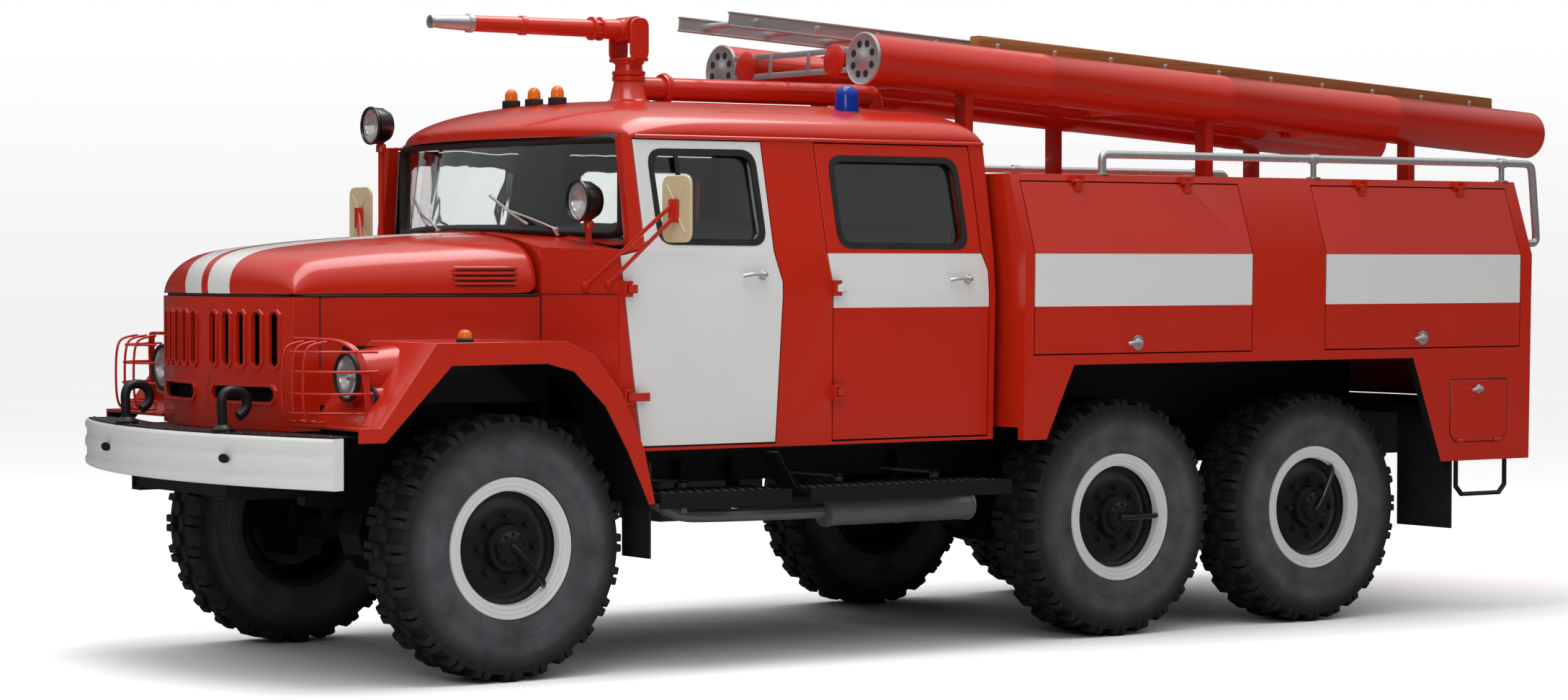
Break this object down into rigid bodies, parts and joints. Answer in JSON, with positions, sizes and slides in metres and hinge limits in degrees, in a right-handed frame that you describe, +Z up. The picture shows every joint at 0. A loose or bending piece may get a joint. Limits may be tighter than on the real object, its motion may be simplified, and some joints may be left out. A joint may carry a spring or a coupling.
{
  "type": "bonneted fire engine",
  "caption": "Six-wheel-drive bonneted fire engine with a crew cab, side lockers, roof hose tubes, ladders and a water monitor on the cab roof.",
  "frame": {"origin": "centre of the bounding box's base, on the ground", "axes": "+Y from front to rear, +X to the engine's left, +Z up"},
  "size_m": [2.88, 7.78, 2.9027],
  "materials": {
    "red_paint": "gloss",
    "white_paint": "gloss",
    "black_paint": "satin",
    "engine_grey": "rough",
    "tank_grey": "satin",
    "tyre_rubber": "matte",
    "flap_rubber": "matte",
    "window_glass": "polished",
    "seat_cover": "matte",
    "dash_paint": "satin",
    "ladder_alloy": "brushed",
    "mirror_back": "matte"
  },
  "bodies": {
    "chassis": {"frame_rails": "black_paint", "front_axle": "black_paint", "rear_axles": "black_paint", "leaf_springs": "black_paint", "drivetrain": "engine_grey", "fuel_tank": "tank_grey", "exhaust": "tank_grey", "steps": "black_paint", "bumper": "white_paint", "grille_shell": "red_paint", "front_wings": "red_paint", "cab_cowl": "red_paint", "cab_tub": "red_paint", "cab_sides": "red_paint", "cab_roof": "red_paint", "windscreen": "window_glass", "dashboard": "dash_paint", "seats": "seat_cover", "body_sides": "red_paint", "body_ends": "red_paint", "body_deck": "red_paint", "body_core": "tank_grey", "mud_flaps": "flap_rubber", "hose_tubes": "red_paint", "ladders": "ladder_alloy", "roof_rails": "ladder_alloy", "monitor_riser": "red_paint", "lamps": "black_paint", "mirrors": "mirror_back"},
    "steering_knuckle_left": {"knuckle_left": "black_paint"},
    "front_wheel_left": {"tyre_front_left": "tyre_rubber", "wheel_front_left": "black_paint"},
    "middle_wheel_left": {"tyre_middle_left": "tyre_rubber", "wheel_middle_left": "black_paint"},
    "rear_wheel_left": {"tyre_rear_left": "tyre_rubber", "wheel_rear_left": "black_paint"},
    "front_door_left": {"door_front_left": "white_paint", "glass_front_left": "window_glass"},
    "rear_door_left": {"door_rear_left": "red_paint", "glass_rear_left": "window_glass"},
    "front_lid_left": {"lid_front_left": "red_paint"},
    "rear_lid_left": {"lid_rear_left": "red_paint"},
    "rear_leaf_left": {"rear_door_left": "red_paint"},
    "steering_knuckle_right": {"knuckle_right": "black_paint"},
    "front_wheel_right": {"tyre_front_right": "tyre_rubber", "wheel_front_right": "black_paint"},
    "middle_wheel_right": {"tyre_middle_right": "tyre_rubber", "wheel_middle_right": "black_paint"},
    "rear_wheel_right": {"tyre_rear_right": "tyre_rubber", "wheel_rear_right": "black_paint"},
    "front_door_right": {"door_front_right": "white_paint", "glass_front_right": "window_glass"},
    "rear_door_right": {"door_rear_right": "red_paint", "glass_rear_right": "window_glass"},
    "front_lid_right": {"lid_front_right": "red_paint"},
    "rear_lid_right": {"lid_rear_right": "red_paint"},
    "rear_leaf_right": {"rear_door_right": "red_paint"},
    "bonnet": {"bonnet": "red_paint"},
    "turret": {"monitor_turret": "red_paint"},
    "barrel": {"monitor_barrel": "red_paint"}
  },
  "joints": [
    {"name": "steer_left", "type": "hinge", "parent": "chassis", "child": "steering_knuckle_left", "pos_m": [0.79, -2.765, 0.558], "axis": [0, 0, 1], "range_deg": [-28, 28]},
    {"name": "spin_front_left", "type": "hinge", "parent": "steering_knuckle_left", "child": "front_wheel_left", "pos_m": [0.91, -2.765, 0.558], "axis": [1, 0, 0], "continuous": true},
    {"name": "spin_middle_left", "type": "hinge", "parent": "chassis", "child": "middle_wheel_left", "pos_m": [0.91, 0.585, 0.558], "axis": [1, 0, 0], "continuous": true},
    {"name": "spin_rear_left", "type": "hinge", "parent": "chassis", "child": "rear_wheel_left", "pos_m": [0.91, 1.835, 0.558], "axis": [1, 0, 0], "continuous": true},
    {"name": "door_front_left_hinge", "type": "hinge", "parent": "chassis", "child": "front_door_left", "pos_m": [1.118, -2.22, 1.4], "axis": [0, 0, -1], "range_deg": [0, 60]},
    {"name": "door_rear_left_hinge", "type": "hinge", "parent": "chassis", "child": "rear_door_left", "pos_m": [1.118, -1.116, 1.4], "axis": [0, 0, -1], "range_deg": [0, 60]},
    {"name": "lid_front_left_hinge", "type": "hinge", "parent": "chassis", "child": "front_lid_left", "pos_m": [1.15449, 0.561, 2.116], "axis": [0, -1, 0], "range_deg": [0, 90]},
    {"name": "lid_rear_left_hinge", "type": "hinge", "parent": "chassis", "child": "rear_lid_left", "pos_m": [1.15449, 2.3805, 2.116], "axis": [0, -1, 0], "range_deg": [0, 90]},
    {"name": "rear_door_left_hinge", "type": "hinge", "parent": "chassis", "child": "rear_leaf_left", "pos_m": [1.046, 3.151, 1.55], "axis": [0, 0, -1], "range_deg": [0, 100]},
    {"name": "steer_right", "type": "hinge", "parent": "chassis", "child": "steering_knuckle_right", "pos_m": [-0.79, -2.765, 0.558], "axis": [0, 0, 1], "range_deg": [-28, 28]},
    {"name": "spin_front_right", "type": "hinge", "parent": "steering_knuckle_right", "child": "front_wheel_right", "pos_m": [-0.91, -2.765, 0.558], "axis": [1, 0, 0], "continuous": true},
    {"name": "spin_middle_right", "type": "hinge", "parent": "chassis", "child": "middle_wheel_right", "pos_m": [-0.91, 0.585, 0.558], "axis": [1, 0, 0], "continuous": true},
    {"name": "spin_rear_right", "type": "hinge", "parent": "chassis", "child": "rear_wheel_right", "pos_m": [-0.91, 1.835, 0.558], "axis": [1, 0, 0], "continuous": true},
    {"name": "door_front_right_hinge", "type": "hinge", "parent": "chassis", "child": "front_door_right", "pos_m": [-1.118, -2.22, 1.4], "axis": [0, 0, 1], "range_deg": [0, 60]},
    {"name": "door_rear_right_hinge", "type": "hinge", "parent": "chassis", "child": "rear_door_right", "pos_m": [-1.118, -1.116, 1.4], "axis": [0, 0, 1], "range_deg": [0, 60]},
    {"name": "lid_front_right_hinge", "type": "hinge", "parent": "chassis", "child": "front_lid_right", "pos_m": [-1.15449, 0.561, 2.116], "axis": [0, 1, 0], "range_deg": [0, 90]},
    {"name": "lid_rear_right_hinge", "type": "hinge", "parent": "chassis", "child": "rear_lid_right", "pos_m": [-1.15449, 2.3805, 2.116], "axis": [0, 1, 0], "range_deg": [0, 90]},
    {"name": "rear_door_right_hinge", "type": "hinge", "parent": "chassis", "child": "rear_leaf_right", "pos_m": [-1.046, 3.151, 1.55], "axis": [0, 0, 1], "range_deg": [0, 100]},
    {"name": "bonnet_hinge", "type": "hinge", "parent": "chassis", "child": "bonnet", "pos_m": [0, -2.435, 1.866], "axis": [-1, 0, 0], "range_deg": [0, 50]},
    {"name": "monitor_turn", "type": "hinge", "parent": "chassis", "child": "turret", "pos_m": [0, -1.475, 2.6], "axis": [0, 0, 1], "range_deg": [-120, 120]},
    {"name": "monitor_lift", "type": "hinge", "parent": "turret", "child": "barrel", "pos_m": [0, -1.475, 2.81], "axis": [-1, 0, 0], "range_deg": [-10, 70]}
  ],
  "couplings": [
    {"joint": "steer_right", "follows": "steer_left", "ratio": 1}
  ]
}
